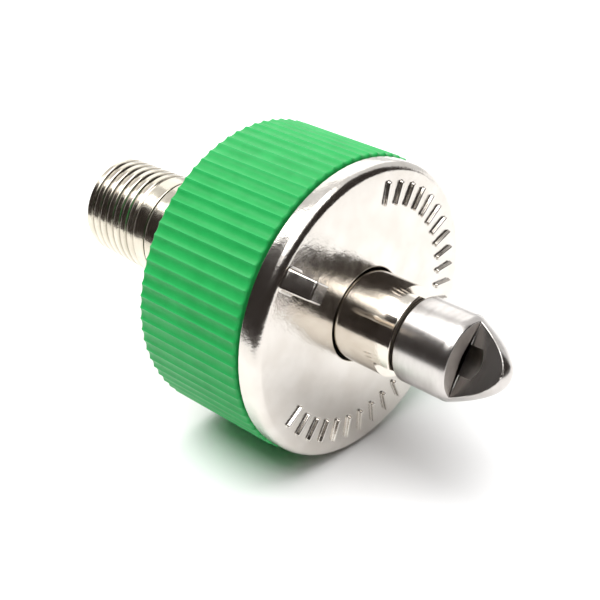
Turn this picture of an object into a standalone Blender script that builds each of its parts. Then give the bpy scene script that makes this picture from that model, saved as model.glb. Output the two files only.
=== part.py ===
"""Medical gas quick-connect adapter, lying on its ribbed grip ring.

The stem runs along X, the threaded tail at -X and the probe's nose at +X. Every station along the
axis is measured in millimetres from the back end of the grip ring, and the assembly empty moves
the whole adapter so that the world origin is under the middle of its box, on the surface it lies
on. The grip turns about the axis, and the sleeve slides back along it.
"""

import math

import bmesh
import bpy
from mathutils import Matrix, Vector

MM = 0.001
GAP = 0.3
FINE_GAP = 0.15
WELD = 0.00001

# Tail nipple: quarter-inch taper pipe thread, plain band and the spigot inside the hub.
THREAD_RADIUS = 6.85
THREAD_PITCH = 1.411
THREAD_DEPTH = 0.85
THREAD_TAPER = 1 / 32
TAIL_END = -25.6
THREAD_FRONT = -15.5
TAIL_CHAMFER = 0.6
BAND_RADIUS = 6.8
BAND_FRONT = -13.4
SPIGOT_RADIUS = 4.9
SPIGOT_FRONT = -11.2
INLET_RADIUS = 3.0
FILTER_POCKET_RADIUS = 4.2
FILTER_POCKET_FRONT = -21.5
FILTER_LENGTH = 1.6
FILTER_CLIP_LENGTH = 0.7
FILTER_CLIP_WIDTH = 1.1
GASKET_BORE = 2.6

# Hub: collar, hexagon, journal and the chamber that the sleeve slides in.
HUB_BACK = -13.1
COLLAR_RADIUS = 6.95
HEX_ACROSS_FLATS = 16.0
HEX_BACK = -8.0
HEX_FRONT = -1.2
HEX_EDGE = 0.6
JOURNAL_RADIUS = 7.4
JOURNAL_FRONT = 10.6
CLIP_GROOVE_RADIUS = 6.8
CLIP_BACK = 9.35
CLIP_FRONT = 10.0
CLIP_RADIUS = 8.9
CLIP_MOUTH = 2.8
WASHER_RADIUS = 9.6
THRUST_WASHER_BACK = 8.75
THRUST_WASHER_RADIUS = 9.2
CHAMBER_RADIUS = 6.0
CHAMBER_BACK = -6.0

# Stem tube and nose.
TUBE_RADIUS = 4.1
TUBE_BORE = 2.25
TUBE_BACK = -9.9
TUBE_FRONT = 31.6
NOSE_RADIUS = 5.3
NOSE_BACK = 27.4
SEAL_RADIUS = 4.8
SEAL_LENGTH = 0.6
DOME_BACK = 33.4
DOME_LENGTH = 6.3
BORE_END = 36.0
DRILL_CONE = 0.6
PORT_FLOOR = 34.4
PORT_OFFSET = 1.35

# Sleeve, its key and its spring.
SLEEVE_RADIUS = 5.7
SLEEVE_BORE = 4.45
SLEEVE_BACK = 4.8
SLEEVE_FRONT = 27.1
SLEEVE_FLAT = 4.0
SLEEVE_FLAT_LENGTH = 2.2
SLEEVE_TRAVEL = 3.5
STOP_BACK = 14.7
STOP_RADIUS = 8.6
KEY_STATION = 7.6
KEY_RADIUS = 0.6
KEY_INNER = 3.65
KEYWAY_DEPTH = 0.6
SPRING_WIRE = 0.45
SPRING_RADIUS = 5.05
SPRING_TURNS = 5

# Grip: ribbed ring, core, covers and bushes.
RING_RADIUS = 19.0
RING_BORE = 15.2
RING_FRONT = 15.9
RIB_COUNT = 78
RIB_HEIGHT = 0.3
PLATE_RADIUS = 18.7
PLATE_BACK = 16.2
PLATE_FRONT = 19.1
PLATE_EDGE = 1.0
PLATE_HOLE = 5.95
WIPER_POCKET = 7.2
WIPER_FRONT = 17.45
CORE_RADIUS = 14.9
CORE_BACK = 1.6
CORE_BORE = 9.6
CORE_WEB_BACK = 4.2
CORE_WEB_FRONT = 6.0
BUSH_RADIUS = 9.4
BUSH_PLAY = 0.2
REAR_BUSH_BACK = 1.75
FRONT_BUSH_FRONT = 8.6
COVER_FRONT = 1.3
SCREW_CIRCLE = 12.3
SCREW_RADIUS = 1.0
SCREW_HEAD_RADIUS = 1.9
SCREW_HEAD_FRONT = 0.5
SCREW_SINK = 0.65
SCREW_SOCKET_RADIUS = 0.9
SCREW_SOCKET_FLOOR = 0.25
SCREW_FRONT = 17.6
SCREW_COUNT = 3
SCREW_TURN = -0.4
DOWEL_RADIUS = 1.0
DOWEL_STATION = 5.1
DOWEL_COUNT = 3
DOWEL_TURN = 0.5

# The side of the adapter that the nose's port faces, and the index lug, turned a little from it.
INDEX_ANGLE = math.radians(145.0)
LUG_ANGLE = math.radians(143.0)
LUG_WIDTH = 2.6
LUG_LENGTH = 2.6
LUG_HEIGHT = 4.2
LUG_OUTER = 17.6

MID_X = (TAIL_END + DOME_BACK + DOME_LENGTH) / 2
AXIS_HEIGHT = RING_RADIUS * math.cos(math.pi / RIB_COUNT)

NICKEL = ("nickel_plate", (0.78, 0.74, 0.69), 0.16, 1.0)
TAIL_NICKEL = ("tail_nickel", (0.76, 0.73, 0.69), 0.2, 1.0)
STEEL = ("satin_steel", (0.62, 0.61, 0.6), 0.3, 1.0)
SPRING_STEEL = ("spring_steel", (0.5, 0.5, 0.52), 0.3, 1.0)
GREEN = ("green_plastic", (0.06, 0.46, 0.14), 0.45, 0.0)
ALUMINIUM = ("core_aluminium", (0.66, 0.67, 0.69), 0.4, 1.0)
BRONZE = ("bronze", (0.55, 0.38, 0.2), 0.4, 1.0)
RUBBER = ("black_rubber", (0.02, 0.02, 0.022), 0.7, 0.0)


def clear_scene():
    for item in list(bpy.data.objects):
        bpy.data.objects.remove(item, do_unlink=True)


def make_material(finish, name):
    label, color, roughness, metallic = finish
    material = bpy.data.materials.new(f"{label}_{name}")
    material.use_nodes = True
    shader = material.node_tree.nodes["Principled BSDF"]
    shader.inputs["Base Color"].default_value = (*color, 1.0)
    shader.inputs["Roughness"].default_value = roughness
    shader.inputs["Metallic"].default_value = metallic
    return material


def add_object(name, mesh, finish, parent):
    piece = bpy.data.objects.new(name, mesh)
    bpy.context.collection.objects.link(piece)
    piece.parent = parent
    if finish:
        mesh.materials.append(make_material(finish, name))
    return piece


def finish_mesh(name, work):
    bmesh.ops.remove_doubles(work, verts=work.verts, dist=WELD)
    bmesh.ops.recalc_face_normals(work, faces=work.faces)
    mesh = bpy.data.meshes.new(name)
    work.to_mesh(mesh)
    work.free()
    mesh.shade_smooth()
    mesh.set_sharp_from_angle(angle=math.radians(30))
    return mesh


def lathe_into(work, stations, steps, shape=None):
    """Turn a closed loop of (station, radius) points about X; shape may vary a radius by angle."""
    rings = []
    for station, radius in stations:
        ring = []
        for step in range(steps):
            angle = 2 * math.pi * step / steps
            reach = shape(station, radius, angle) if shape else radius
            place = Vector((station, reach * math.cos(angle), reach * math.sin(angle)))
            ring.append(work.verts.new(place * MM))
        rings.append(ring)
    for ring, following in zip(rings, rings[1:] + rings[:1]):
        for step in range(steps):
            beside = (step + 1) % steps
            work.faces.new((ring[step], ring[beside], following[beside], following[step]))


def turned(name, stations, finish, parent, steps=36, shape=None):
    work = bmesh.new()
    lathe_into(work, stations, steps, shape)
    return add_object(name, finish_mesh(name, work), finish, parent)


def ring_stations(back, front, bore, radius, chamfer=0.15):
    """A washer or bush: a rectangular section with its outer corners chamfered."""
    return [
        (back, bore),
        (back, radius - chamfer),
        (back + chamfer, radius),
        (front - chamfer, radius),
        (front, radius - chamfer),
        (front, bore),
    ]


def cut(piece, cutter):
    """Take the cutter out of the piece, and leave it in the scene as a guide."""
    cutter.hide_render = True
    cutter.display_type = "WIRE"
    boolean = piece.modifiers.new(f"cut_{cutter.name}", "BOOLEAN")
    boolean.operation = "DIFFERENCE"
    boolean.solver = "EXACT"
    boolean.object = cutter


def rod_into(work, start, end, radius, steps=16):
    """A straight rod between two points given in millimetres."""
    along = Vector(end) - Vector(start)
    turn = along.to_track_quat("Z", "Y").to_matrix().to_4x4()
    middle = (Vector(start) + Vector(end)) / 2
    bmesh.ops.create_cone(
        work,
        cap_ends=True,
        segments=steps,
        radius1=radius * MM,
        radius2=radius * MM,
        depth=along.length * MM,
        matrix=Matrix.Translation(middle * MM) @ turn,
    )


def rods(name, spans, radius, finish, parent, steps=16):
    work = bmesh.new()
    for start, end in spans:
        rod_into(work, start, end, radius, steps)
    return add_object(name, finish_mesh(name, work), finish, parent)


def block(name, low, high, angle, parent, finish=None):
    """A box in (along the axis, outward, sideways) millimetres, turned to face the given angle."""
    work = bmesh.new()
    bmesh.ops.create_cube(work, size=1.0)
    size = Vector(high) - Vector(low)
    middle = (Vector(high) + Vector(low)) / 2
    bmesh.ops.scale(work, vec=size * MM, verts=work.verts)
    bmesh.ops.translate(work, vec=middle * MM, verts=work.verts)
    bmesh.ops.rotate(work, cent=(0, 0, 0), matrix=Matrix.Rotation(angle, 3, "X"), verts=work.verts)
    return add_object(name, finish_mesh(name, work), finish, parent)


def around(count, radius, offset=0.0):
    """Points spaced evenly on a circle about the axis, as (y, z) pairs."""
    for index in range(count):
        angle = offset + 2 * math.pi * index / count
        yield radius * math.cos(angle), radius * math.sin(angle)


def thread_shape(station, radius, angle):
    """The tail's thread is a helix on a slight taper."""
    if not TAIL_END + TAIL_CHAMFER < station < THREAD_FRONT or radius < SPIGOT_RADIUS:
        return radius
    turn = (station / THREAD_PITCH - angle / (2 * math.pi)) % 1.0
    return radius - THREAD_DEPTH * (1.0 - abs(2.0 * turn - 1.0))


def hex_shape(station, radius, angle):
    """The hexagon has its corners turned off, and the rest of the hub is round."""
    if not HEX_BACK <= station <= HEX_FRONT or radius <= JOURNAL_RADIUS:
        return radius
    from_flat = (angle + math.pi / 6) % (math.pi / 3) - math.pi / 6
    return min(radius, HEX_ACROSS_FLATS / 2 / math.cos(from_flat))


def make_tail_nipple(parent):
    rows = 5
    thread = []
    count = round((THREAD_FRONT - TAIL_END - TAIL_CHAMFER) / THREAD_PITCH * rows)
    for index in range(1, count):
        station = TAIL_END + TAIL_CHAMFER + index * THREAD_PITCH / rows
        thread.append((station, THREAD_RADIUS - (THREAD_FRONT - station) * THREAD_TAPER))
    root = THREAD_RADIUS - THREAD_DEPTH
    stations = [
        (TAIL_END, root - 0.4),
        (TAIL_END + TAIL_CHAMFER, root),
        *thread,
        (THREAD_FRONT, root),
        (THREAD_FRONT + 0.6, BAND_RADIUS),
        (BAND_FRONT, BAND_RADIUS),
        (BAND_FRONT, SPIGOT_RADIUS),
        (SPIGOT_FRONT, SPIGOT_RADIUS),
        (SPIGOT_FRONT, INLET_RADIUS),
        (FILTER_POCKET_FRONT, INLET_RADIUS),
        (FILTER_POCKET_FRONT, FILTER_POCKET_RADIUS),
        (TAIL_END, FILTER_POCKET_RADIUS),
    ]
    turned("tail_nipple", stations, TAIL_NICKEL, parent, 48, thread_shape)


def make_hub(parent):
    hex_corner = HEX_ACROSS_FLATS / math.sqrt(3)
    hex_edge = HEX_ACROSS_FLATS / 2 - 0.05
    stations = [
        (HUB_BACK, SPIGOT_RADIUS + FINE_GAP),
        (HUB_BACK, COLLAR_RADIUS - 0.25),
        (HUB_BACK + 0.25, COLLAR_RADIUS),
        (HEX_BACK, COLLAR_RADIUS),
        (HEX_BACK, hex_edge),
        (HEX_BACK + HEX_EDGE, hex_corner),
        (HEX_FRONT - HEX_EDGE, hex_corner),
        (HEX_FRONT, hex_edge),
        (HEX_FRONT, JOURNAL_RADIUS),
        (CLIP_BACK - FINE_GAP, JOURNAL_RADIUS),
        (CLIP_BACK - FINE_GAP, CLIP_GROOVE_RADIUS),
        (CLIP_FRONT + FINE_GAP, CLIP_GROOVE_RADIUS),
        (CLIP_FRONT + FINE_GAP, JOURNAL_RADIUS - 0.1),
        (JOURNAL_FRONT, JOURNAL_RADIUS - 0.3),
        (JOURNAL_FRONT, CHAMBER_RADIUS),
        (CHAMBER_BACK, CHAMBER_RADIUS),
        (CHAMBER_BACK, TUBE_RADIUS + FINE_GAP),
        (SPIGOT_FRONT + FINE_GAP, TUBE_RADIUS + FINE_GAP),
        (SPIGOT_FRONT + FINE_GAP, SPIGOT_RADIUS + FINE_GAP),
    ]
    turned("hub_body", stations, TAIL_NICKEL, parent, 48, hex_shape)


def make_inlet(parent):
    outer = FILTER_POCKET_RADIUS - FINE_GAP
    filter_front = FILTER_POCKET_FRONT - FINE_GAP
    filter_back = filter_front - FILTER_LENGTH
    clip_front = filter_back - FINE_GAP
    disc = [(filter_back, 0.0), (filter_back, outer), (filter_front, outer), (filter_front, 0.0)]
    turned("inlet_filter", disc, BRONZE, parent)
    clip_back = clip_front - FILTER_CLIP_LENGTH
    clip = ring_stations(clip_back, clip_front, outer - FILTER_CLIP_WIDTH, outer, 0.1)
    turned("filter_clip", clip, SPRING_STEEL, parent)
    gasket_radius = TUBE_RADIUS - 0.05
    gasket = ring_stations(SPIGOT_FRONT + GAP, TUBE_BACK - FINE_GAP, GASKET_BORE, gasket_radius, 0.1)
    turned("stem_gasket", gasket, RUBBER, parent)


def make_stem_tube(parent):
    section = ring_stations(TUBE_BACK, TUBE_FRONT, TUBE_BORE, TUBE_RADIUS, 0.25)
    tube = turned("stem_tube", section, STEEL, parent)
    keyway = block(
        "cut_keyway",
        (KEY_STATION - SLEEVE_TRAVEL - KEY_RADIUS - GAP, TUBE_RADIUS - KEYWAY_DEPTH, -KEY_RADIUS - FINE_GAP),
        (KEY_STATION + KEY_RADIUS + GAP, TUBE_RADIUS + 1.0, KEY_RADIUS + FINE_GAP),
        math.pi / 2,
        parent,
    )
    cut(tube, keyway)


def make_nose(parent):
    seal_back = SLEEVE_FRONT + FINE_GAP
    seal_front = seal_back + SEAL_LENGTH
    pocket_front = seal_front + FINE_GAP
    rows = 8
    dome = []
    for index in range(1, rows + 1):
        fall = 1 - math.sin(math.pi / 2 * index / rows)
        dome.append((DOME_BACK + DOME_LENGTH * (1 - fall * fall), NOSE_RADIUS * fall))
    stations = [
        (pocket_front, TUBE_RADIUS + FINE_GAP),
        (pocket_front, SEAL_RADIUS + FINE_GAP),
        (NOSE_BACK, SEAL_RADIUS + FINE_GAP),
        (NOSE_BACK, NOSE_RADIUS - 0.2),
        (NOSE_BACK + 0.2, NOSE_RADIUS),
        (DOME_BACK, NOSE_RADIUS),
        *dome,
        (BORE_END + DRILL_CONE, 0.0),
        (BORE_END, TUBE_BORE),
        (TUBE_FRONT + GAP, TUBE_BORE),
        (TUBE_FRONT + GAP, TUBE_RADIUS + FINE_GAP),
    ]
    nose = turned("nose_tip", stations, STEEL, parent, 48)
    port = block(
        "cut_nose_port",
        (PORT_FLOOR, PORT_OFFSET, -NOSE_RADIUS - 2),
        (DOME_BACK + DOME_LENGTH + 2, NOSE_RADIUS + 2, NOSE_RADIUS + 2),
        INDEX_ANGLE,
        parent,
    )
    cut(nose, port)
    seal = ring_stations(seal_back, seal_front, TUBE_RADIUS + FINE_GAP, SEAL_RADIUS, 0.1)
    turned("nose_seal", seal, RUBBER, parent)


def make_hub_hardware(parent):
    bore = JOURNAL_RADIUS + FINE_GAP
    rear = ring_stations(HEX_FRONT + FINE_GAP, -GAP, bore, WASHER_RADIUS, 0.1)
    turned("rear_washer", rear, BRONZE, parent)
    thrust = ring_stations(THRUST_WASHER_BACK, CLIP_BACK - FINE_GAP, bore, THRUST_WASHER_RADIUS, 0.1)
    turned("thrust_washer", thrust, BRONZE, parent)
    section = ring_stations(CLIP_BACK, CLIP_FRONT, CLIP_GROOVE_RADIUS + FINE_GAP, CLIP_RADIUS, 0.1)
    clip = turned("retaining_clip", section, SPRING_STEEL, parent, 48)
    mouth = block(
        "cut_clip_mouth",
        (CLIP_BACK - 1, 0, -CLIP_MOUTH / 2),
        (CLIP_FRONT + 1, CLIP_RADIUS + 1, CLIP_MOUTH / 2),
        math.pi / 2,
        parent,
    )
    cut(clip, mouth)


def make_spring(parent):
    """A coil spring with closed ends, as one helical tube round the stem."""
    back = CHAMBER_BACK + GAP + SPRING_WIRE
    front = SLEEVE_BACK - GAP - SPRING_WIRE
    sides = 8
    per_turn = 16
    total = SPRING_TURNS * per_turn
    work = bmesh.new()
    rings = []
    for index in range(total + 1):
        share = index / total
        angle = 2 * math.pi * SPRING_TURNS * share
        station = back + (front - back) * share
        ring = []
        for side in range(sides):
            turn = 2 * math.pi * side / sides
            reach = SPRING_RADIUS + SPRING_WIRE * math.cos(turn)
            along = station + SPRING_WIRE * math.sin(turn)
            place = Vector((along, reach * math.cos(angle), reach * math.sin(angle)))
            ring.append(work.verts.new(place * MM))
        rings.append(ring)
    for ring, following in zip(rings, rings[1:]):
        for side in range(sides):
            beside = (side + 1) % sides
            work.faces.new((ring[side], ring[beside], following[beside], following[side]))
    work.faces.new(rings[0])
    work.faces.new(rings[-1])
    add_object("sleeve_spring", finish_mesh("sleeve_spring", work), SPRING_STEEL, parent)


def make_sleeve(parent):
    section = ring_stations(SLEEVE_BACK, SLEEVE_FRONT, SLEEVE_BORE, SLEEVE_RADIUS, 0.25)
    sleeve = turned("lock_sleeve", section, NICKEL, parent, 48)
    for label, side in (("upper", -1), ("lower", 1)):
        flat = block(
            f"cut_{label}_flat",
            (SLEEVE_FRONT - SLEEVE_FLAT_LENGTH, SLEEVE_FLAT, -SLEEVE_RADIUS - 1),
            (SLEEVE_FRONT + 1, SLEEVE_RADIUS + 1, SLEEVE_RADIUS + 1),
            INDEX_ANGLE + side * math.pi / 2,
            parent,
        )
        cut(sleeve, flat)
    hole = rods(
        "cut_key_hole",
        [((KEY_STATION, 0, 0), (KEY_STATION, 0, SLEEVE_RADIUS + 1))],
        KEY_RADIUS + FINE_GAP,
        None,
        parent,
    )
    cut(sleeve, hole)
    key_top = SLEEVE_RADIUS - 0.2
    rods(
        "sleeve_key",
        [((KEY_STATION, 0, KEY_INNER), (KEY_STATION, 0, key_top))],
        KEY_RADIUS,
        SPRING_STEEL,
        parent,
    )
    collar = ring_stations(STOP_BACK, RING_FRONT, SLEEVE_RADIUS + FINE_GAP, STOP_RADIUS, 0.2)
    turned("stop_collar", collar, NICKEL, parent)


def rib_shape(station, radius, angle):
    """A ridge stands at every rib, with a flat as wide as the ridge between it and the next."""
    if radius < RING_RADIUS - RIB_HEIGHT:
        return radius
    turn = (angle / (2 * math.pi) * RIB_COUNT) % 1.0
    return radius if min(turn, 1 - turn) < 0.1 else radius - RIB_HEIGHT


def make_grip_ring(parent):
    stations = [
        (0.0, RING_BORE),
        (0.0, RING_RADIUS - 0.6),
        (0.25, RING_RADIUS),
        (RING_FRONT - 0.25, RING_RADIUS),
        (RING_FRONT, RING_RADIUS - 0.6),
        (RING_FRONT, RING_BORE),
    ]
    ring = turned("grip_ring", stations, GREEN, parent, RIB_COUNT * 4, rib_shape)
    cut(ring, dowel_holes("cut_ring_dowels", RING_BORE - 1.5, RING_BORE + 2.0, parent))
    for index, span in enumerate(dowel_spans(CORE_RADIUS - 1.5, RING_BORE + 1.7)):
        rods(f"ring_dowel_{index + 1}", [span], DOWEL_RADIUS, SPRING_STEEL, parent, 12)


def dowel_spans(inner, outer):
    spans = []
    near = around(DOWEL_COUNT, inner, DOWEL_TURN)
    far = around(DOWEL_COUNT, outer, DOWEL_TURN)
    for (near_y, near_z), (far_y, far_z) in zip(near, far):
        spans.append(((DOWEL_STATION, near_y, near_z), (DOWEL_STATION, far_y, far_z)))
    return spans


def dowel_holes(name, inner, outer, parent):
    return rods(name, dowel_spans(inner, outer), DOWEL_RADIUS + FINE_GAP, None, parent, 12)


def make_face_plate(parent):
    stations = [
        (PLATE_BACK, WIPER_POCKET),
        (PLATE_BACK, PLATE_RADIUS - 0.3),
        (PLATE_BACK + 0.3, PLATE_RADIUS),
        (PLATE_FRONT - PLATE_EDGE, PLATE_RADIUS),
        (PLATE_FRONT - 0.45 * PLATE_EDGE, PLATE_RADIUS - 0.16 * PLATE_EDGE),
        (PLATE_FRONT - 0.16 * PLATE_EDGE, PLATE_RADIUS - 0.45 * PLATE_EDGE),
        (PLATE_FRONT, PLATE_RADIUS - PLATE_EDGE),
        (PLATE_FRONT, PLATE_HOLE + 0.15),
        (PLATE_FRONT - 0.15, PLATE_HOLE),
        (WIPER_FRONT + FINE_GAP, PLATE_HOLE),
        (WIPER_FRONT + FINE_GAP, WIPER_POCKET),
    ]
    plate = turned("face_plate", stations, NICKEL, parent, 72)
    lug = block(
        "lug_block",
        (PLATE_FRONT - 0.5, LUG_OUTER - LUG_LENGTH, -LUG_WIDTH / 2),
        (PLATE_FRONT + LUG_HEIGHT, LUG_OUTER, LUG_WIDTH / 2),
        LUG_ANGLE,
        parent,
    )
    lug.hide_render = True
    lug.display_type = "WIRE"
    union = plate.modifiers.new("add_lug", "BOOLEAN")
    union.operation = "UNION"
    union.solver = "EXACT"
    union.object = lug
    spans = screw_spans(PLATE_BACK - 1, SCREW_FRONT + GAP)
    cut(plate, rods("cut_plate_screws", spans, SCREW_RADIUS + FINE_GAP, None, parent, 12))


def screw_spans(back, front):
    return [((back, y, z), (front, y, z)) for y, z in around(SCREW_COUNT, SCREW_CIRCLE, SCREW_TURN)]


def make_core(parent):
    stations = [
        (CORE_BACK, CORE_BORE),
        (CORE_BACK, CORE_RADIUS),
        (RING_FRONT, CORE_RADIUS),
        (RING_FRONT, CORE_BORE),
        (CORE_WEB_FRONT, CORE_BORE),
        (CORE_WEB_FRONT, JOURNAL_RADIUS + 0.5),
        (CORE_WEB_BACK, JOURNAL_RADIUS + 0.5),
        (CORE_WEB_BACK, CORE_BORE),
    ]
    core = turned("housing_core", stations, ALUMINIUM, parent, 48)
    passage = screw_spans(0.0, RING_FRONT + 2)
    cut(core, rods("cut_core_screws", passage, SCREW_RADIUS + FINE_GAP, None, parent, 12))
    cut(core, dowel_holes("cut_core_dowels", CORE_RADIUS - 1.7, CORE_RADIUS + 1.0, parent))
    for label, back, front in (
        ("rear_bush", REAR_BUSH_BACK, CORE_WEB_BACK - FINE_GAP),
        ("front_bush", CORE_WEB_FRONT + FINE_GAP, FRONT_BUSH_FRONT),
    ):
        section = ring_stations(back, front, JOURNAL_RADIUS + BUSH_PLAY, BUSH_RADIUS)
        turned(label, section, BRONZE, parent)
    wiper_radius = WIPER_POCKET - FINE_GAP
    wiper = ring_stations(PLATE_BACK + FINE_GAP, WIPER_FRONT, SLEEVE_RADIUS + FINE_GAP, wiper_radius, 0.2)
    turned("sleeve_wiper", wiper, RUBBER, parent)


def make_rear_cover(parent):
    stations = ring_stations(0.0, COVER_FRONT, JOURNAL_RADIUS + GAP, CORE_RADIUS, 0.2)
    cover = turned("rear_cover", stations, NICKEL, parent, 48)
    cut(cover, rods("cut_cover_screws", screw_spans(-1, 3), SCREW_RADIUS + FINE_GAP, None, parent, 12))
    sink = screw_spans(-1, SCREW_SINK)
    cut(cover, rods("cut_screw_sinks", sink, SCREW_HEAD_RADIUS + FINE_GAP, None, parent, 24))
    make_cover_screws(parent)


def make_cover_screws(parent):
    """Three long screws, each with a flat head and a round socket, sharing one mesh."""
    head_back = -0.25
    work = bmesh.new()
    stations = [
        (SCREW_SOCKET_FLOOR, 0.0),
        (SCREW_SOCKET_FLOOR, SCREW_SOCKET_RADIUS),
        (head_back, SCREW_SOCKET_RADIUS),
        (head_back, SCREW_HEAD_RADIUS - 0.5),
        (0.0, SCREW_HEAD_RADIUS),
        (SCREW_HEAD_FRONT, SCREW_HEAD_RADIUS),
        (SCREW_HEAD_FRONT, SCREW_RADIUS),
        (SCREW_FRONT, SCREW_RADIUS),
        (SCREW_FRONT, 0.0),
    ]
    lathe_into(work, stations, 12)
    mesh = finish_mesh("cover_screw", work)
    mesh.materials.append(make_material(SPRING_STEEL, "cover_screw"))
    for index, (y, z) in enumerate(around(SCREW_COUNT, SCREW_CIRCLE, SCREW_TURN)):
        screw = add_object(f"cover_screw_{index + 1}", mesh, None, parent)
        screw.location = Vector((0, y, z)) * MM


def add_empty(name, parent=None):
    empty = bpy.data.objects.new(name, None)
    bpy.context.collection.objects.link(empty)
    empty.parent = parent
    return empty


def build():
    clear_scene()
    assembly = add_empty("assembly")
    assembly.location = Vector((-MID_X, 0, AXIS_HEIGHT)) * MM
    stem = add_empty("stem_axis", assembly)
    grip = add_empty("grip_axis", assembly)
    sleeve = add_empty("sleeve_axis", assembly)
    make_tail_nipple(stem)
    make_hub(stem)
    make_inlet(stem)
    make_stem_tube(stem)
    make_nose(stem)
    make_hub_hardware(stem)
    make_spring(stem)
    make_sleeve(sleeve)
    make_grip_ring(grip)
    make_face_plate(grip)
    make_core(grip)
    make_rear_cover(grip)


build()
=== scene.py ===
import math

import bmesh
import bpy
from mathutils import Matrix, Vector


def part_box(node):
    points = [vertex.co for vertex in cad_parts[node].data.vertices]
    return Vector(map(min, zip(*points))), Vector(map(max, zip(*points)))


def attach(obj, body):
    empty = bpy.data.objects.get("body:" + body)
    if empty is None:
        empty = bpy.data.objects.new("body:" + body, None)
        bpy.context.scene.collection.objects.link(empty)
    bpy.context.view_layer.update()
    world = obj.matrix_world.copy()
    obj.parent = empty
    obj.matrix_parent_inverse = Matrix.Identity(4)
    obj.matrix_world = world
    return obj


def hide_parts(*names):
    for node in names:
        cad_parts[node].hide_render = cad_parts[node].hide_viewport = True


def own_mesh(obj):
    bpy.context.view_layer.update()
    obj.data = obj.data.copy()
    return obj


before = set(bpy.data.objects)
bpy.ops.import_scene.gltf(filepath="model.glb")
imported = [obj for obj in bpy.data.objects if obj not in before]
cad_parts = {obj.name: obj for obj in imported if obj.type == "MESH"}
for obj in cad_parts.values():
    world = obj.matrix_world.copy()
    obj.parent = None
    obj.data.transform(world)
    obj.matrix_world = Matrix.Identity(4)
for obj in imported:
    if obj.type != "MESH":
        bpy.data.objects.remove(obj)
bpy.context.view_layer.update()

# Stations are millimetres along +X from the back end of the grip ring, and radii are millimetres
# from the axis. The ring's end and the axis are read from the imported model.
MM = 0.001
RING_LOW, RING_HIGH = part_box("grip_ring")
RING_BACK = RING_LOW.x
AXIS_HEIGHT = (RING_LOW.z + RING_HIGH.z) / 2

# The side that the nose's port faces, and the index lug, turned a little from it.
INDEX_ANGLE = math.radians(145.0)
LUG_ANGLE = math.radians(143.0)

# Grip ring.
RING_BORE = 15.2
FLUTE_COUNT = 78
FLUTE_DEPTH = 0.2
FLUTE_STEPS = 20

# Index plate, with the wiper's pocket behind its hole, and its raised bars.
PLATE_FRONT = 19.1
PLATE_HOLE = 5.95
WIPER_POCKET = 7.2
WIPER_POCKET_FRONT = 17.6
RELIEF_ARCS = ((-24.0, 78.0), (214.0, 322.0))
RELIEF_BARS = 13

# Nipple: a 1/4-18 taper thread. THREAD_CREST is its outer radius at THREAD_FRONT.
THREAD_PITCH = 1.411
THREAD_DEPTH = 0.36
THREAD_TAPER = 1 / 32
THREAD_FRONT = -15.5
THREAD_CREST = 6.85
THREAD_ROWS = 18
TAIL_BORE = 3.0
FILTER_POCKET = 4.2
FILTER_POCKET_FRONT = -21.5
SPIGOT_RADIUS = 4.9

# Hub, with the journal that the grip turns on.
HEX_ACROSS_FLATS = 16.0
HEX_BACK = -8.0
HEX_FRONT = -1.2
HEX_CHAMFER = 0.8
COLLAR_RADIUS = 6.95
JOURNAL_RADIUS = 7.4

# Nose, with the port across its side, and the socket for the stem tube behind its bore.
DOME_BACK = 33.4
PORT_BACK = 34.4
PORT_OFFSET = 1.35
NOSE_BORE = 2.25
NOSE_BORE_END = 36.0
DRILL_HALF_ANGLE = math.radians(59.0)
NOSE_SOCKET = 4.25
NOSE_SOCKET_FRONT = 31.9
SEAL_POCKET = 4.95

# Sleeve and its spring.
SLEEVE_BORE = 4.45
SLEEVE_FLAT = 4.5
SLEEVE_FLAT_LENGTH = 2.2
WIRE_RADIUS = 0.45
COIL_TURNS = 6

# How far a cutter reaches, so that it passes clean through the piece.
WELL_CLEAR = 9.0

# Edges of a cut piece that turn by more than this stay sharp, or are bevelled.
HARD_EDGE = math.radians(28.0)

# Camera, in millimetres from the axis at station 0, fitted to the outlines of the adapter.
CAMERA_PLACE = Vector((101.2, -99.9, 76.4))
CAMERA_AIM = Vector((9.2, -0.89, -1.55))
CAMERA_LENS = 75.5

# Studio: the bent wall's radius, and its height in millimetres at each azimuth in degrees.
WALL_RADIUS = 250.0
WALL_HEIGHTS = (
    (-165.0, 165.0),
    (-149.0, 172.0),
    (-145.0, 300.0),
    (-125.0, 360.0),
    (-108.0, 240.0),
    (-20.0, 230.0),
    (12.0, 440.0),
    (62.0, 440.0),
)
WALL_STEPS = 90
FLOOR_REACH = 3000.0

# Lamp power for each unit of radiance and square metre of a softbox.
POWER_PER_RADIANCE = 4.0


def span(node):
    """(back station, front station, outer radius) of a CAD node, in millimetres."""
    low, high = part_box(node)
    return (low.x - RING_BACK) / MM, (high.x - RING_BACK) / MM, (high.y - low.y) / 2 / MM


def place(station, radius, angle):
    """A point in the shared frame, from its station, radius and angle (from +Y towards +Z)."""
    return Vector((
        RING_BACK + station * MM,
        radius * math.cos(angle) * MM,
        AXIS_HEIGHT + radius * math.sin(angle) * MM,
    ))


# ---------------------------------------------------------------- materials


def new_material(name):
    """A node material, with its nodes, its links and its shader."""
    material = bpy.data.materials.new(name)
    material.use_nodes = True
    nodes = material.node_tree.nodes
    return material, nodes, material.node_tree.links, nodes["Principled BSDF"]


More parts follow.
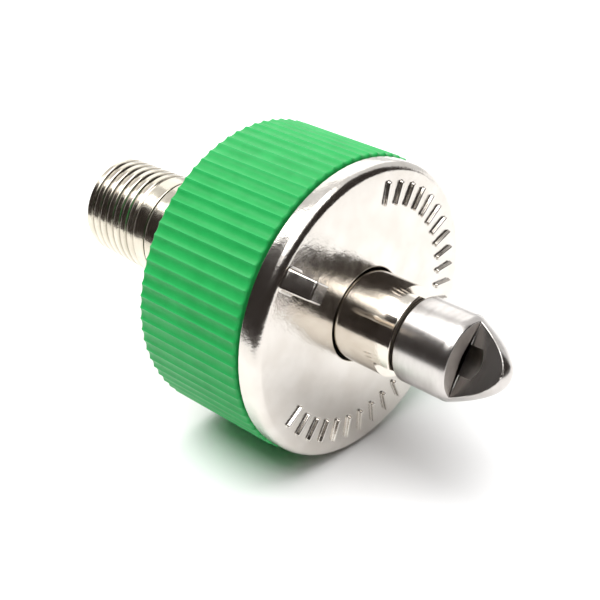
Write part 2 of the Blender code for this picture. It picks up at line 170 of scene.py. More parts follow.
def object_noise(nodes, links, scale, detail=3.0, roughness=0.55, stretch=None):
    """Noise in the piece's own coordinates, with features of about 1 / scale metres."""
    coords = nodes.new("ShaderNodeTexCoord")
    noise = nodes.new("ShaderNodeTexNoise")
    noise.inputs["Scale"].default_value = scale
    noise.inputs["Detail"].default_value = detail
    noise.inputs["Roughness"].default_value = roughness
    if stretch:
        mapping = nodes.new("ShaderNodeMapping")
        mapping.inputs["Scale"].default_value = stretch
        links.new(coords.outputs["Object"], mapping.inputs["Vector"])
        links.new(mapping.outputs["Vector"], noise.inputs["Vector"])
    else:
        links.new(coords.outputs["Object"], noise.inputs["Vector"])
    return noise.outputs["Fac"]


def ramp(nodes, links, factor, low, high, start=0.35, stop=0.65):
    """A colour that goes from low to high as the factor goes from start to stop."""
    node = nodes.new("ShaderNodeValToRGB")
    node.color_ramp.elements[0].position = start
    node.color_ramp.elements[1].position = stop
    node.color_ramp.elements[0].color = (*low, 1.0)
    node.color_ramp.elements[1].color = (*high, 1.0)
    links.new(factor, node.inputs["Fac"])
    return node.outputs["Color"]


def spread(nodes, links, factor, low, high):
    """The factor's middle range, spread from low to high."""
    node = nodes.new("ShaderNodeMapRange")
    node.inputs["From Min"].default_value = 0.3
    node.inputs["From Max"].default_value = 0.7
    node.inputs["To Min"].default_value = low
    node.inputs["To Max"].default_value = high
    links.new(factor, node.inputs["Value"])
    return node.outputs["Result"]


def bump(nodes, links, height, depth, under=None):
    """Bump of the given depth in millimetres, on top of another bump if there is one."""
    node = nodes.new("ShaderNodeBump")
    node.inputs["Strength"].default_value = 1.0
    node.inputs["Distance"].default_value = depth * MM
    links.new(height, node.inputs["Height"])
    if under:
        links.new(under, node.inputs["Normal"])
    return node.outputs["Normal"]


def from_axis(nodes, links):
    """The shaded point's X, and its distance from the axis, in metres."""
    coords = nodes.new("ShaderNodeTexCoord")
    parts = nodes.new("ShaderNodeSeparateXYZ")
    links.new(coords.outputs["Object"], parts.inputs["Vector"])
    across = nodes.new("ShaderNodeCombineXYZ")
    links.new(parts.outputs["Y"], across.inputs["Y"])
    links.new(parts.outputs["Z"], across.inputs["Z"])
    distance = nodes.new("ShaderNodeVectorMath")
    distance.operation = "DISTANCE"
    distance.inputs[1].default_value = (0.0, 0.0, AXIS_HEIGHT)
    links.new(across.outputs["Vector"], distance.inputs[0])
    return parts.outputs["X"], distance.outputs["Value"]


def blend(nodes, links, factor, base, colour):
    """The base colour, going to the other colour as the factor goes to one."""
    mix = nodes.new("ShaderNodeMix")
    mix.data_type = "RGBA"
    mix.inputs["B"].default_value = (*colour, 1.0)
    links.new(factor, mix.inputs["Factor"])
    links.new(base, mix.inputs["A"])
    return mix.outputs["Result"]


def plated_metal(name, dark, light, rough, peel_scale, peel_depth, fine_depth):
    """Nickel plate: a faint orange-peel ripple over a finer grain."""
    material, nodes, links, shader = new_material(name)
    shader.inputs["Metallic"].default_value = 1.0
    tone = object_noise(nodes, links, 260.0)
    links.new(ramp(nodes, links, tone, dark, light), shader.inputs["Base Color"])
    haze = object_noise(nodes, links, 900.0)
    links.new(spread(nodes, links, haze, *rough), shader.inputs["Roughness"])
    fine = bump(nodes, links, object_noise(nodes, links, 4200.0, 2.0), fine_depth)
    peel = object_noise(nodes, links, peel_scale, 2.0, 0.5)
    links.new(bump(nodes, links, peel, peel_depth, fine), shader.inputs["Normal"])
    return material


def paint_groove_shade(material):
    """Painted shade: browns the thread's flanks and grooves by their depth below the tapering line of
    its crests.
    """
    nodes, links = material.node_tree.nodes, material.node_tree.links
    colour = nodes["Principled BSDF"].inputs["Base Color"]
    along, radius = from_axis(nodes, links)
    crest = nodes.new("ShaderNodeMath")
    crest.operation = "MULTIPLY_ADD"
    crest.inputs[1].default_value = THREAD_TAPER
    crest.inputs[2].default_value = THREAD_CREST * MM - THREAD_TAPER * place(THREAD_FRONT, 0, 0).x
    links.new(along, crest.inputs[0])
    depth = nodes.new("ShaderNodeMath")
    depth.operation = "SUBTRACT"
    links.new(crest.outputs["Value"], depth.inputs[0])
    links.new(radius, depth.inputs[1])
    share = nodes.new("ShaderNodeMapRange")
    share.inputs["From Max"].default_value = 2.0 * THREAD_DEPTH * MM
    links.new(depth.outputs["Value"], share.inputs["Value"])
    # Painted shade: the brown band is strongest near the groove bottoms and fades out up the flanks.
    band = ramp(nodes, links, share.outputs["Result"], (0.0, 0.0, 0.0), (0.0, 0.0, 0.0), 0.15, 0.9)
    for position in (0.45, 0.6):
        band.node.color_ramp.elements.new(position).color = (0.8, 0.8, 0.8, 1.0)
    unshaded_colour = colour.links[0].from_socket
    links.new(blend(nodes, links, band, unshaded_colour, (0.15, 0.12, 0.09)), colour)


def turned_metal(name, dark, light, rough, mark_depth):
    """Satin turned steel: fine tool marks run round the axis."""
    material, nodes, links, shader = new_material(name)
    shader.inputs["Metallic"].default_value = 1.0
    tone = object_noise(nodes, links, 300.0, stretch=(4.0, 1.0, 1.0))
    links.new(ramp(nodes, links, tone, dark, light), shader.inputs["Base Color"])
    streaks = object_noise(nodes, links, 420.0, 4.0, 0.7, stretch=(22.0, 0.7, 0.7))
    links.new(spread(nodes, links, streaks, *rough), shader.inputs["Roughness"])
    links.new(bump(nodes, links, streaks, mark_depth), shader.inputs["Normal"])
    return material


def green_plastic():
    """Moulded green: a faint mottle, a fine grain, and a painted highlight that makes the ridge tops
    slightly paler.
    """
    material, nodes, links, shader = new_material("green_plastic_moulded")
    mottle = object_noise(nodes, links, 340.0, 4.0)
    base = ramp(nodes, links, mottle, (0.015, 0.31, 0.068), (0.021, 0.355, 0.083))
    _, radius = from_axis(nodes, links)
    outer = span("grip_ring")[2]
    # Painted highlight: a paler green blends in over the outermost 0.12 mm of the ridges.
    ridge_highlight_share = nodes.new("ShaderNodeMapRange")
    ridge_highlight_share.inputs["From Min"].default_value = (outer - 0.12) * MM
    ridge_highlight_share.inputs["From Max"].default_value = (outer - 0.02) * MM
    links.new(radius, ridge_highlight_share.inputs["Value"])
    ridge_highlight_colour = blend(nodes, links, ridge_highlight_share.outputs["Result"], base, (0.026, 0.385, 0.098))
    links.new(ridge_highlight_colour, shader.inputs["Base Color"])
    sheen = object_noise(nodes, links, 1200.0)
    links.new(spread(nodes, links, sheen, 0.32, 0.42), shader.inputs["Roughness"])
    grain = object_noise(nodes, links, 5200.0, 2.0)
    links.new(bump(nodes, links, grain, 0.012), shader.inputs["Normal"])
    shader.inputs["IOR"].default_value = 1.47
    shader.inputs["Specular IOR Level"].default_value = 0.2
    return material


def rubber():
    """Matt black rubber under a thin film of dust."""
    material, nodes, links, shader = new_material("rubber_black")
    dust = object_noise(nodes, links, 1500.0, 4.0)
    colour = ramp(nodes, links, dust, (0.07, 0.06, 0.052), (0.11, 0.095, 0.085))
    links.new(colour, shader.inputs["Base Color"])
    links.new(spread(nodes, links, dust, 0.55, 0.75), shader.inputs["Roughness"])
    links.new(bump(nodes, links, dust, 0.01), shader.inputs["Normal"])
    return material


def sintered_bronze():
    """Pressed powder: round grains with dark pores between them."""
    material, nodes, links, shader = new_material("bronze_sintered")
    shader.inputs["Metallic"].default_value = 1.0
    coords = nodes.new("ShaderNodeTexCoord")
    cells = nodes.new("ShaderNodeTexVoronoi")
    cells.inputs["Scale"].default_value = 4600.0
    links.new(coords.outputs["Object"], cells.inputs["Vector"])
    pores = cells.outputs["Distance"]
    colour = ramp(nodes, links, pores, (0.60, 0.42, 0.22), (0.30, 0.20, 0.10), 0.3, 0.75)
    links.new(colour, shader.inputs["Base Color"])
    links.new(spread(nodes, links, pores, 0.35, 0.6), shader.inputs["Roughness"])
    invert = nodes.new("ShaderNodeMath")
    invert.operation = "SUBTRACT"
    invert.inputs[0].default_value = 1.0
    links.new(pores, invert.inputs[1])
    links.new(bump(nodes, links, invert.outputs["Value"], 0.08), shader.inputs["Normal"])
    return material


CAST_NICKEL = plated_metal(
    "nickel_cast", (0.65, 0.61, 0.56), (0.72, 0.685, 0.64), (0.14, 0.21), 850.0, 0.03, 0.014
)
BRIGHT_NICKEL = plated_metal(
    "nickel_bright", (0.72, 0.665, 0.59), (0.78, 0.73, 0.66), (0.08, 0.14), 700.0, 0.008, 0.001
)
TAIL_NICKEL = plated_metal(
    "nickel_tail", (0.56, 0.51, 0.42), (0.68, 0.63, 0.53), (0.14, 0.24), 1500.0, 0.015, 0.003
)
# Painted shade in the thread's grooves, browned by depth.
paint_groove_shade(TAIL_NICKEL)
SATIN_STEEL = turned_metal(
    "steel_satin", (0.54, 0.51, 0.485), (0.62, 0.59, 0.565), (0.20, 0.27), 0.0025
)
MILLED_STEEL = turned_metal(
    "steel_milled", (0.48, 0.44, 0.405), (0.60, 0.555, 0.515), (0.54, 0.66), 0.004
)
SPRING_STEEL = turned_metal(
    "steel_spring", (0.45, 0.45, 0.46), (0.58, 0.58, 0.6), (0.2, 0.34), 0.004
)
MACHINED_ALUMINIUM = turned_metal(
    "aluminium_machined", (0.66, 0.67, 0.69), (0.78, 0.79, 0.8), (0.26, 0.4), 0.01
)
GREEN_PLASTIC = green_plastic()
BLACK_RUBBER = rubber()
BRONZE = sintered_bronze()


# ---------------------------------------------------------------- mesh tools


def rounded(corners):
    """A closed outline from (station, radius[, fillet]) corners, with arcs in the fillets."""
    outline = []
    count = len(corners)
    for index, corner in enumerate(corners):
        here = Vector(corner[:2])
        fillet = corner[2] if len(corner) > 2 else 0.0
        before = Vector(corners[index - 1][:2]) - here
        after = Vector(corners[(index + 1) % count][:2]) - here
        turn = before.angle(after) if fillet else 0.0
        if not fillet or abs(turn - math.pi) < 0.02:
            outline.append(tuple(here))
            continue
        reach = min(fillet / math.tan(turn / 2), 0.49 * before.length, 0.49 * after.length)
        radius = reach * math.tan(turn / 2)
        start = here + before.normalized() * reach
        stop = here + after.normalized() * reach
        middle = (before.normalized() + after.normalized()).normalized()
        centre = here + middle * (radius / math.sin(turn / 2))
        pieces = max(3, round(6 * (math.pi - turn) / (math.pi / 2)))
        from_centre = start - centre
        to_centre = stop - centre
        swing = from_centre.angle_signed(to_centre)
        for step in range(pieces + 1):
            part = from_centre.copy()
            part.rotate(Matrix.Rotation(-swing * step / pieces, 2))
            outline.append(tuple(centre + part))
    return outline


def lathe(outline, steps=128, shape=None):
    """A bmesh turned about the axis from a closed outline; shape may vary a radius by angle."""
    work = bmesh.new()
    angles = [2 * math.pi * step / steps for step in range(steps)]
    rings = []
    for station, radius in outline:
        ring = []
        for angle in angles:
            reach = shape(station, radius, angle) if shape else radius
            ring.append(work.verts.new(place(station, reach, angle)))
        rings.append(ring)
    for ring, following in zip(rings, rings[1:] + rings[:1]):
        for step in range(len(angles)):
            beside = (step + 1) % len(angles)
            work.faces.new((ring[step], ring[beside], following[beside], following[step]))
    return work


def to_object(name, work, material, sharp=32.0):
    """An object from a bmesh: welded, facing outward and shaded smooth except at sharp edges."""
    bmesh.ops.remove_doubles(work, verts=work.verts, dist=0.002 * MM)
    bmesh.ops.recalc_face_normals(work, faces=work.faces)
    mesh = bpy.data.meshes.new(name)
    work.to_mesh(mesh)
    work.free()
    mesh.shade_smooth()
    mesh.set_sharp_from_angle(angle=math.radians(sharp))
    if material:
        mesh.materials.append(material)
    piece = bpy.data.objects.new(name, mesh)
    bpy.context.collection.objects.link(piece)
    return piece


def stand_for(piece, body, slot, *nodes):
    """The piece rides on a body and replaces CAD nodes; the slot argument is not used."""
    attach(piece, body)
    if nodes:
        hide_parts(*nodes)


def cutter_block(low, high, angle):
    """A box in (station, outward, sideways) millimetres, facing the given angle."""
    work = bmesh.new()
    bmesh.ops.create_cube(work, size=1.0)
    size = Vector(high) - Vector(low)
    middle = (Vector(high) + Vector(low)) / 2
    bmesh.ops.scale(work, vec=size * MM, verts=work.verts)
    bmesh.ops.translate(work, vec=middle * MM, verts=work.verts)
    bmesh.ops.rotate(work, cent=(0, 0, 0), matrix=Matrix.Rotation(angle, 3, "X"), verts=work.verts)
    bmesh.ops.translate(work, vec=(RING_BACK, 0, AXIS_HEIGHT), verts=work.verts)
    return work


def settle(piece):
    """Leaves the piece's evaluated shape as one plain mesh."""
    bpy.context.view_layer.update()
    graph = bpy.context.evaluated_depsgraph_get()
    mesh = bpy.data.meshes.new_from_object(piece.evaluated_get(graph))
    piece.modifiers.clear()
    piece.data = mesh
    return mesh


def carve(piece, cutters, bevel):
    """Cuts the cutters out of the piece and, given a bevel, rounds its hard edges but not its flats."""
    made = []
    for index, work in enumerate(cutters):
        cutter = to_object(f"cutter_{piece.name}_{index}", work, None)
        made.append(cutter)
        boolean = piece.modifiers.new(f"cut_{index}", "BOOLEAN")
        boolean.operation = "DIFFERENCE"
        boolean.solver = "EXACT"
        boolean.object = cutter
    mesh = settle(piece)
    mesh.shade_smooth()
    mesh.set_sharp_from_angle(angle=HARD_EDGE)
    if bevel:
        soften = piece.modifiers.new("soften", "BEVEL")
        soften.width = bevel * MM
        soften.segments = 3
        soften.limit_method = "ANGLE"
        soften.angle_limit = HARD_EDGE
        soften.use_clamp_overlap = False
        weigh = piece.modifiers.new("weigh", "WEIGHTED_NORMAL")
        weigh.weight = 100
        settle(piece)
    for cutter in made:
        bpy.data.objects.remove(cutter, do_unlink=True)


def loft(work, sections):
    """Bridges closed loops of points in order and caps both ends."""
    loops = [[work.verts.new(point) for point in section] for section in sections]
    for loop, following in zip(loops, loops[1:]):
        for step in range(len(loop)):
            beside = (step + 1) % len(loop)
            work.faces.new((loop[step], loop[beside], following[beside], following[step]))
    work.faces.new(loops[0][::-1])
    work.faces.new(loops[-1])


def pad_loop(half_out, half_side, corner, grow):
    """A rounded rectangle of (outward, sideways) points, grown by an offset."""
    steps = 5
    radius = max(corner + grow, 0.02)
    points = []
    for quarter in range(4):
        turn = quarter * math.pi / 2
        out = half_out - corner if quarter in (0, 3) else -(half_out - corner)
        side = half_side - corner if quarter in (0, 1) else -(half_side - corner)
        for step in range(steps + 1):
            angle = turn + math.pi / 2 * step / steps
            points.append((out + radius * math.cos(angle), side + radius * math.sin(angle)))
    return points


def boss(work, angle, centre_out, half_out, half_side, corner, height, edge, flare):
    """A raised block on the plate: a flared foot, slightly drafted sides and rounded top edges."""
    outward = Vector((0, math.cos(angle), math.sin(angle)))
    sideways = Vector((0, -math.sin(angle), math.cos(angle)))
    draft = 0.03 * height
    profile = [(-0.4, flare)]
    for step in range(5):
        turn = math.pi / 2 * step / 4
        profile.append((flare * (1 - math.cos(turn)), flare * (1 - math.sin(turn))))
    for step in range(6):
        turn = math.pi / 2 * step / 5
        level = height - edge + edge * math.sin(turn)
        profile.append((level, -draft - edge * (1 - math.cos(turn))))
    sections = []
    for level, grow in profile:
        loop = []
        for out, side in pad_loop(half_out, half_side, corner, grow):
            spot = outward * (centre_out + out) + sideways * side
            loop.append(place(PLATE_FRONT + level, 0, 0) + spot * MM)
        sections.append(loop)
    loft(work, sections)


# ---------------------------------------------------------------- grip


def make_grip_ring():
    """The green ring, with flutes all round that run out over its rounded rims."""
    back, front, outer = span("grip_ring")
    rim = 0.75

    def flute(station, radius, angle):
        """Concave flutes meet in narrow ridges."""
        if radius < outer - rim:
            return radius
        turn = (angle * FLUTE_COUNT / (2 * math.pi)) % 1.0
        to_valley = 1.0 - 2.0 * min(turn, 1.0 - turn)
        return radius - FLUTE_DEPTH * (1.0 - to_valley * to_valley)

    outline = rounded([
        (back, RING_BORE, 0.2),
        (back, outer, 0.35),
        (front, outer, 0.35),
        (front, RING_BORE, 0.2),
    ])
    work = lathe(outline, FLUTE_COUNT * FLUTE_STEPS, flute)
    ring = to_object("grip_ring_ribbed", work, GREEN_PLASTIC, 50)
    stand_for(ring, "grip", "green_plastic", "grip_ring")


def make_face_plate():
    """The plate in front of the ring, with a well rounded rim."""
    back, _, outer = span("face_plate")
    plate = to_object("index_plate", lathe(rounded([
        (back, WIPER_POCKET, 0.1),
        (back, outer, 0.3),
        (PLATE_FRONT, outer, 1.05),
        (PLATE_FRONT, PLATE_HOLE, 0.22),
        (WIPER_POCKET_FRONT, PLATE_HOLE, 0.1),
        (WIPER_POCKET_FRONT, WIPER_POCKET, 0.1),
    ]), 288), CAST_NICKEL)
    stand_for(plate, "grip", "nickel_plate", "face_plate")


def make_index_lug():
    """The square lug that stands on the plate."""
    work = bmesh.new()
    boss(
        work, LUG_ANGLE, centre_out=16.3, half_out=1.3, half_side=1.3,
        corner=0.35, height=4.2, edge=0.32, flare=0.3,
    )
    stand_for(to_object("index_lug", work, CAST_NICKEL), "grip", "nickel_plate")


def make_relief():
    """Plain raised bars stand round two stretches of the plate's face."""
    work = bmesh.new()
    for start, stop in RELIEF_ARCS:
        for index in range(RELIEF_BARS):
            angle = math.radians(start + (stop - start) * index / (RELIEF_BARS - 1))
            boss(
                work, angle, centre_out=15.1, half_out=1.5, half_side=0.3,
                corner=0.25, height=0.42, edge=0.16, flare=0.12,
            )
    stand_for(to_object("face_relief", work, CAST_NICKEL), "grip", "nickel_plate")


def make_rear_cover():
    """The cover behind the ring, with holes and sinks for its three screws."""
    back, front, outer = span("rear_cover")
    hole = 7.7
    head_sink = (2.05, 0.65)
    shank_hole = (1.15, 3.0)
    cover = to_object("rear_cover_plate", lathe(rounded([
        (back, hole, 0.15),
        (back, outer, 0.3),
        (front, outer, 0.1),
        (front, hole, 0.1),
    ]), 192), BRIGHT_NICKEL)
    sinks = []
    for index in (1, 2, 3):
        low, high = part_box(f"cover_screw_{index}")
        y, z = (low.y + high.y) / 2, (low.z + high.z) / 2
        for radius, reach in (head_sink, shank_hole):
            work = bmesh.new()
            bmesh.ops.create_cone(
                work,
                cap_ends=True,
                segments=48,
                radius1=radius * MM,
                radius2=radius * MM,
                depth=(reach + 1.0) * MM,
                matrix=Matrix.Translation((RING_BACK + (reach - 1.0) / 2 * MM, y, z))
                @ Matrix.Rotation(math.pi / 2, 4, "Y"),
            )
            sinks.append(work)
    carve(cover, sinks, 0.06)
    stand_for(cover, "grip", "nickel_plate", "rear_cover")


def make_cover_screws():
    """Each screw has a rounded cheese head with a hexagon socket."""
    for index in (1, 2, 3):
        node = f"cover_screw_{index}"
        low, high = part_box(node)
        back, front, head = span(node)
        socket = 0.95
        socket_depth = 0.5
        shank = 1.0
        head_front = back + 0.75

        def hexagon(station, radius, angle):
            if abs(radius - socket) > 0.01:
                return radius
            from_flat = (angle + math.pi / 6) % (math.pi / 3) - math.pi / 6
            return socket * 0.92 / math.cos(from_flat)

        work = lathe(rounded([
            (back + socket_depth, 0.0),
            (back + socket_depth, socket),
            (back, socket, 0.04),
            (back, head, 0.25),
            (head_front, head, 0.05),
            (head_front, shank, 0.05),
            (front, shank, 0.2),
            (front, 0.0),
        ]), 72, hexagon)
        shift = Vector((0, (low.y + high.y) / 2, (low.z + high.z) / 2 - AXIS_HEIGHT))
        bmesh.ops.translate(work, vec=shift, verts=work.verts)
        screw = to_object(f"socket_screw_{index}", work, SPRING_STEEL)
        stand_for(screw, "grip", "spring_steel", node)


# ---------------------------------------------------------------- stem


def make_nose():
    """The domed nose, bored from behind, with a port milled across one side of it."""
    back, front, outer = span("nose_tip")
    length = front - DOME_BACK
    rows = 30
    dome = []
    for row in range(1, rows + 1):
        fall = 1.0 - math.sin(math.pi / 2 * row / rows)
        dome.append((DOME_BACK + length * (1 - fall * fall), outer * fall))
    pocket_front = span("nose_seal")[1] + 0.15
    outline = rounded([
        (pocket_front, NOSE_SOCKET),
        (pocket_front, SEAL_POCKET, 0.1),
        (back, SEAL_POCKET, 0.05),
        (back, outer, 0.18),
        (DOME_BACK, outer),
    ])
    outline += dome
    outline += rounded([
        (NOSE_BORE_END + NOSE_BORE / math.tan(DRILL_HALF_ANGLE), 0.0),
        (NOSE_BORE_END, NOSE_BORE, 0.12),
        (NOSE_SOCKET_FRONT, NOSE_BORE),
        (NOSE_SOCKET_FRONT, NOSE_SOCKET),
    ])
    nose = to_object("nose_tip_ported", lathe(outline, 180), SATIN_STEEL)
    low = (PORT_BACK, PORT_OFFSET, -WELL_CLEAR)
    high = (front + 3.0, WELL_CLEAR, WELL_CLEAR)
    carve(nose, [cutter_block(low, high, INDEX_ANGLE)], 0.08)
    mill_faces(nose)
    stand_for(nose, "stem", "satin_steel", "nose_tip")


def mill_faces(nose):
    """Roughens the faces that don't look outward: the bore, the port's back wall and the back end."""
    nose.data.materials.append(MILLED_STEEL)
    for face in nose.data.polygons:
        outward = face.center - place(0, 0, 0)
        outward.x = 0.0
        if face.normal.dot(outward.normalized()) < 0.001:
            face.material_index = 1


def make_tail():
    """The nipple: a helical taper thread behind a plain band, and a spigot into the hub."""
    back, front, _ = span("tail_nipple")
    band = 6.8
    band_front = -13.4
    end_radius = 6.0
    chamfer_slope = 1.2
    thread_bottom = 5.2
    groove_share = 0.27
    runout_end = THREAD_FRONT + 0.5 * THREAD_PITCH

    def helix(station, radius, angle):
        """Wide worn crests between narrow rounded grooves, which run out into the plain band."""
        if radius < thread_bottom or station > THREAD_FRONT + THREAD_PITCH:
            return radius
        turn = (station / THREAD_PITCH - angle / (2 * math.pi)) % 1.0
        groove = max(0.0, 1.0 - abs(turn - 0.5) / groove_share)
        groove = groove * groove * (3.0 - 2.0 * groove)
        runout = min(1.0, max(0.0, (runout_end - station) / THREAD_PITCH))
        chamfered = end_radius + 0.15 + (station - back) * chamfer_slope
        return min(radius - THREAD_DEPTH * groove * runout, chamfered)

    outline = [(back, end_radius)]
    for index in range(round((runout_end - back) / THREAD_PITCH * THREAD_ROWS)):
        station = back + 0.02 + index * THREAD_PITCH / THREAD_ROWS
        outline.append((station, THREAD_CREST - max(0.0, THREAD_FRONT - station) * THREAD_TAPER))
    outline += rounded([
        (band_front, band, 0.12),
        (band_front, SPIGOT_RADIUS),
        (front, SPIGOT_RADIUS, 0.2),
        (front, TAIL_BORE, 0.1),
        (FILTER_POCKET_FRONT, TAIL_BORE),
        (FILTER_POCKET_FRONT, FILTER_POCKET),
        (back, FILTER_POCKET, 0.15),
    ])
    tail = to_object("tail_nipple_threaded", lathe(outline, 180, helix), TAIL_NICKEL, 40)
    stand_for(tail, "stem", "tail_nickel", "tail_nipple")


def make_hub():
    """The hexagon with its collar and journal, bored and grooved for its clip."""
    back, front, _ = span("hub_body")
    corner = HEX_ACROSS_FLATS / math.sqrt(3)
    hex_foot = 7.85
    hex_least = 7.6
    clip_back, clip_front, clip_floor = 9.2, 10.15, 6.8
    socket, socket_front = 5.05, -11.05
    gasket_seat, seat_front = 4.25, -6.0
    bore = 6.0

    def hexagon(station, radius, angle):
        if not HEX_BACK - 0.01 <= station <= HEX_FRONT + 0.01 or radius < hex_least:
            return radius
        from_flat = (angle + math.pi / 6) % (math.pi / 3) - math.pi / 6
        return min(radius, HEX_ACROSS_FLATS / 2 / math.cos(from_flat))

    outline = rounded([
        (back, socket, 0.1),
        (back, COLLAR_RADIUS, 0.25),
        (HEX_BACK, COLLAR_RADIUS),
        (HEX_BACK, hex_foot),
        (HEX_BACK + HEX_CHAMFER, corner),
        (HEX_FRONT - HEX_CHAMFER, corner),
        (HEX_FRONT, hex_foot),
        (HEX_FRONT, JOURNAL_RADIUS),
        (clip_back, JOURNAL_RADIUS, 0.05),
        (clip_back, clip_floor),
        (clip_front, clip_floor),
        (clip_front, JOURNAL_RADIUS - 0.1, 0.05),
        (front, JOURNAL_RADIUS - 0.3, 0.1),
        (front, bore),
        (seat_front, bore),
        (seat_front, gasket_seat),
        (socket_front, gasket_seat),
        (socket_front, socket),
    ])
    hub = to_object("hub_hexagon", lathe(outline, 144, hexagon), TAIL_NICKEL)
    stand_for(hub, "stem", "tail_nickel", "hub_body")


def make_ring_piece(name, node, body, slot, material, bore, fillet):
    """A washer, bush, disc or seal with rounded edges, where its CAD node lies."""
    back, front, outer = span(node)
    outline = rounded([
        (back, bore, fillet if bore else 0.0),
        (back, outer, fillet),
        (front, outer, fillet),
        (front, bore, fillet if bore else 0.0),
    ])
    stand_for(to_object(name, lathe(outline), material), body, slot, node)


def make_spring():
    """The coil spring, with its end coils closed up, in a mesh of its own; the real spring shortens as
    the sleeve slides back.
    """
    back, front, outer = span("sleeve_spring")
    sides = 12
    total = 40 * COIL_TURNS
    closing = 0.72
    low, high = back + WIRE_RADIUS, front - WIRE_RADIUS
    work = bmesh.new()
    loops = []
    for index in range(total + 1):
        share = index / total
        angle = 2 * math.pi * COIL_TURNS * share
        eased = share - math.sin(2 * math.pi * share) / (2 * math.pi) * closing
        station = low + (high - low) * eased
        loop = []
        for side in range(sides):
            turn = 2 * math.pi * side / sides
            reach = outer - WIRE_RADIUS + WIRE_RADIUS * math.cos(turn)
            loop.append(place(station + WIRE_RADIUS * math.sin(turn), reach, angle))
        loops.append(loop)
    loft(work, loops)
    spring = to_object("sleeve_spring_coil", work, SPRING_STEEL)
    stand_for(spring, "stem", "spring_steel", "sleeve_spring")
    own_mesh(spring)


# ---------------------------------------------------------------- sleeve


def make_sleeve():
    """The plated sleeve, with a flat on each side of its front end."""
    back, front, outer = span("lock_sleeve")
    sleeve = to_object("lock_sleeve_plated", lathe(rounded([
        (back, SLEEVE_BORE, 0.1),
        (back, outer, 0.25),
        (front, outer, 0.16),
        (front, SLEEVE_BORE, 0.12),
    ]), 180), BRIGHT_NICKEL)
    flats = []
    for side in (-1, 1):
        low = (front - SLEEVE_FLAT_LENGTH, SLEEVE_FLAT, -WELL_CLEAR)
        high = (front + 2.0, WELL_CLEAR, WELL_CLEAR)
        flats.append(cutter_block(low, high, INDEX_ANGLE + side * math.pi / 2))
    carve(sleeve, flats, 0.0)
    stand_for(sleeve, "sleeve", "nickel_plate", "lock_sleeve")


# ---------------------------------------------------------------- kept CAD nodes


def paint_kept_nodes():
    """The hidden pieces keep their CAD shapes, with procedural materials."""
    finishes = {
        "stem_tube": SATIN_STEEL,
        "stem_gasket": BLACK_RUBBER,
        "thrust_washer": BRONZE,
        "rear_bush": BRONZE,
        "front_bush": BRONZE,
        "retaining_clip": SPRING_STEEL,
        "filter_clip": SPRING_STEEL,
        "sleeve_key": SPRING_STEEL,
        "housing_core": MACHINED_ALUMINIUM,
        "stop_collar": BRIGHT_NICKEL,
        "ring_dowel_1": SPRING_STEEL,
        "ring_dowel_2": SPRING_STEEL,
        "ring_dowel_3": SPRING_STEEL,
    }
    for node, material in finishes.items():
        for mesh_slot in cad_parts[node].material_slots:
            mesh_slot.material = material


# ---------------------------------------------------------------- studio


def make_floor(material):
    """A white floor that fills the main picture."""
    work = bmesh.new()
    corners = []
    for x, y in ((-1, -1), (1, -1), (1, 1), (-1, 1)):
        corners.append(work.verts.new(Vector((x, y, 0)) * FLOOR_REACH * MM))
    work.faces.new(corners)
    to_object("floor", work, material)


def make_studio():
    """A white surround with a dark side, an overhead softbox and three smaller ones."""
    floor_material, _, _, shader = new_material("floor_white")
    shader.inputs["Base Color"].default_value = (0.93, 0.93, 0.93, 1.0)
    shader.inputs["Roughness"].default_value = 0.6
    shader.inputs["Specular IOR Level"].default_value = 0.2
    make_floor(floor_material)

    flag_material, _, _, shader = new_material("flag_black")
    shader.inputs["Base Color"].default_value = (0.03, 0.025, 0.023, 1.0)
    shader.inputs["Roughness"].default_value = 1.0
    shader.inputs["Specular IOR Level"].default_value = 0.0
    make_flag(flag_material)

    world = bpy.data.worlds.new("studio")
    bpy.context.scene.world = world
    world.use_nodes = True
    background = world.node_tree.nodes["Background"]
    background.inputs["Color"].default_value = (1.0, 1.0, 1.0, 1.0)
    background.inputs["Strength"].default_value = 0.86

    softbox("overhead", (-0.02, -0.16, 0.79), (0.72, 0.72), 4.0)
    softbox("back", (-0.42, 0.50, 0.40), (0.6, 0.5), 0.75)
    softbox("front", (0.26, -0.16, 0.42), (0.15, 0.15), 1.6)
    softbox("key", (-0.27, -0.09, 0.35), (0.09, 0.24), 3.0)


def wall_height(azimuth):
    """The bent wall's height where it stands at this azimuth."""
    for (start, low), (stop, high) in zip(WALL_HEIGHTS, WALL_HEIGHTS[1:]):
        if azimuth <= stop:
            return low + (high - low) * (azimuth - start) / (stop - start)
    return WALL_HEIGHTS[-1][1]


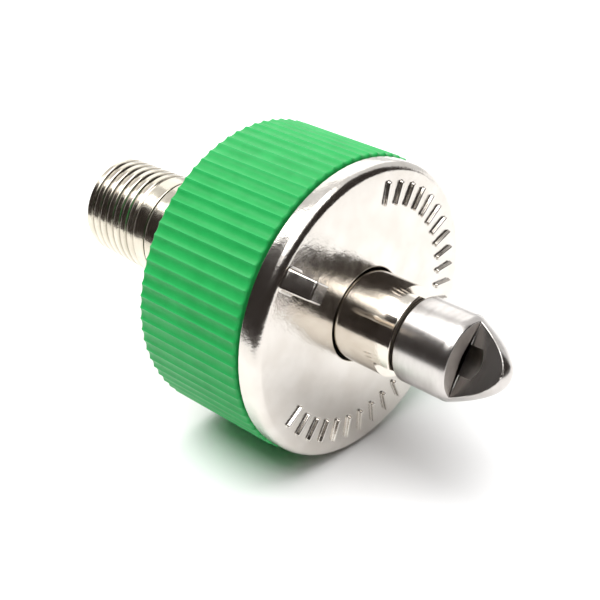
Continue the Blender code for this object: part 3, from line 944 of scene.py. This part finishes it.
def make_flag(material):
    """The dark side of the studio: a bent wall, and the far floor as metal reflects it."""
    start, stop = WALL_HEIGHTS[0][0], WALL_HEIGHTS[-1][0]
    near_front, near_back = 95.0, 170.0
    lift = Vector((0.0, 0.0, 1.0))
    low, high = bmesh.new(), bmesh.new()
    low_rows, high_rows = [], []
    for index in range(WALL_STEPS + 1):
        degrees = start + (stop - start) * index / WALL_STEPS
        ray = Vector((math.cos(math.radians(degrees)), math.sin(math.radians(degrees)), 0.0))
        behind = min(1.0, max(0.0, (degrees + 10.0) / 40.0))
        inner = ray * (near_front + (near_back - near_front) * behind) + lift
        foot = ray * WALL_RADIUS + lift
        top = ray * WALL_RADIUS + Vector((0.0, 0.0, wall_height(degrees)))
        low_rows.append([low.verts.new(corner * MM) for corner in (inner, foot)])
        high_rows.append([high.verts.new(corner * MM) for corner in (foot, top)])
    for work, rows in ((low, low_rows), (high, high_rows)):
        for row, following in zip(rows, rows[1:]):
            work.faces.new((row[0], row[1], following[1], following[0]))
    for name, work in (("flag_floor", low), ("flag_wall", high)):
        flag = to_object(name, work, material)
        flag.visible_camera = False
        flag.visible_shadow = False
        flag.visible_transmission = False
        flag.visible_diffuse = name == "flag_wall"


def softbox(name, where, sides, glow):
    """A rectangular area light of the given radiance, aimed at the adapter."""
    data = bpy.data.lights.new(name, "AREA")
    data.shape = "RECTANGLE"
    data.size, data.size_y = sides
    data.energy = glow * POWER_PER_RADIANCE * sides[0] * sides[1]
    lamp = bpy.data.objects.new(name, data)
    lamp.location = where
    aim = Vector((0, 0, AXIS_HEIGHT)) - lamp.location
    lamp.rotation_mode = "QUATERNION"
    lamp.rotation_quaternion = aim.to_track_quat("-Z", "Y")
    bpy.context.collection.objects.link(lamp)


def make_camera():
    """The camera that the main picture is taken with."""
    data = bpy.data.cameras.new("camera")
    data.lens = CAMERA_LENS
    data.sensor_width = 36.0
    data.clip_start = 0.005
    data.clip_end = 20.0
    camera = bpy.data.objects.new("camera", data)
    axis_origin = place(0, 0, 0)
    camera.location = axis_origin + CAMERA_PLACE * MM
    aim = axis_origin + CAMERA_AIM * MM - camera.location
    camera.rotation_mode = "QUATERNION"
    camera.rotation_quaternion = aim.to_track_quat("-Z", "Y")
    bpy.context.collection.objects.link(camera)
    bpy.context.scene.camera = camera
    bpy.context.scene.view_settings.view_transform = "Standard"


make_camera()
make_studio()
make_grip_ring()
make_face_plate()
make_index_lug()
make_relief()
make_rear_cover()
make_cover_screws()
make_nose()
make_tail()
make_hub()
make_sleeve()
make_spring()
make_ring_piece("nose_bumper_seal", "nose_seal", "stem", "black_rubber", BLACK_RUBBER, 4.25, 0.15)
make_ring_piece("sleeve_wiper_ring", "sleeve_wiper", "grip", "black_rubber", BLACK_RUBBER, 5.85, 0.3)
make_ring_piece("rear_thrust_washer", "rear_washer", "stem", "bronze", BRONZE, 7.55, 0.12)
make_ring_piece("filter_disc", "inlet_filter", "stem", "bronze", BRONZE, 0.0, 0.2)
paint_kept_nodes()
